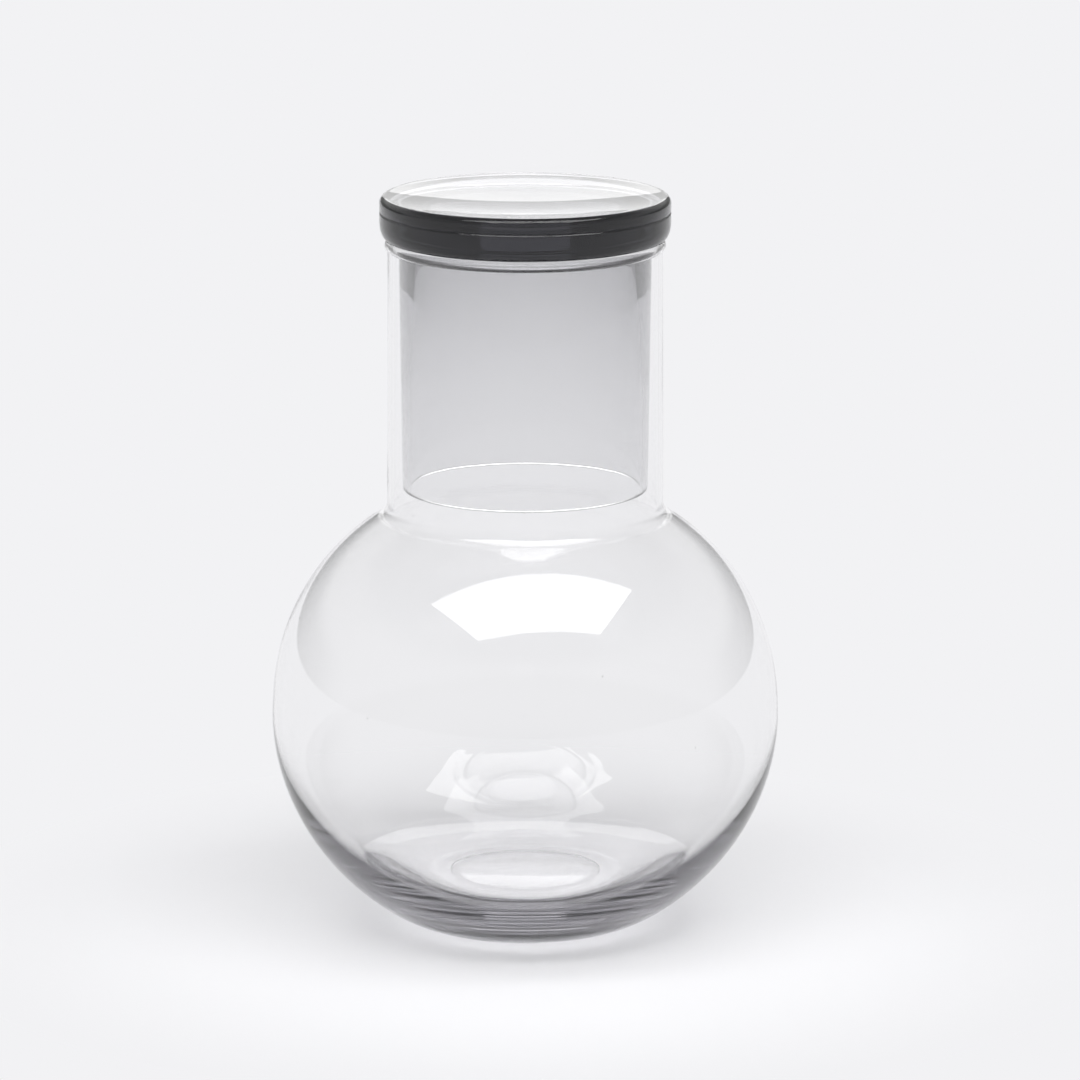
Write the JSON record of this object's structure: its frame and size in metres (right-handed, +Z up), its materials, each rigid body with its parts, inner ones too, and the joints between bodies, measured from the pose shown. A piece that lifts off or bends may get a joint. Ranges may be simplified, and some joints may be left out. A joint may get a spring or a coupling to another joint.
{
  "type": "carafe with tumbler",
  "caption": "Round clear-glass carafe with a straight neck, closed by an upturned smoke-grey tumbler whose thick foot rests on the rim.",
  "frame": {"origin": "centre of the circle the carafe stands on, on the table", "axes": "+Z up along the common axis of carafe and tumbler, -Y towards the camera of the picture"},
  "size_m": [0.1418, 0.1418, 0.2061],
  "materials": {
    "clear_glass": "clear, fire-polished, very slightly wavy",
    "smoke_glass": "smoke grey, fire-polished"
  },
  "bodies": {
    "carafe": {"carafe": "clear_glass"},
    "tumbler": {"tumbler": "smoke_glass"}
  },
  "joints": [
    {"name": "tumbler_lift", "type": "slide", "parent": "carafe", "child": "tumbler", "axis": [0, 0, 1], "range_m": [0, 0.1]}
  ]
}
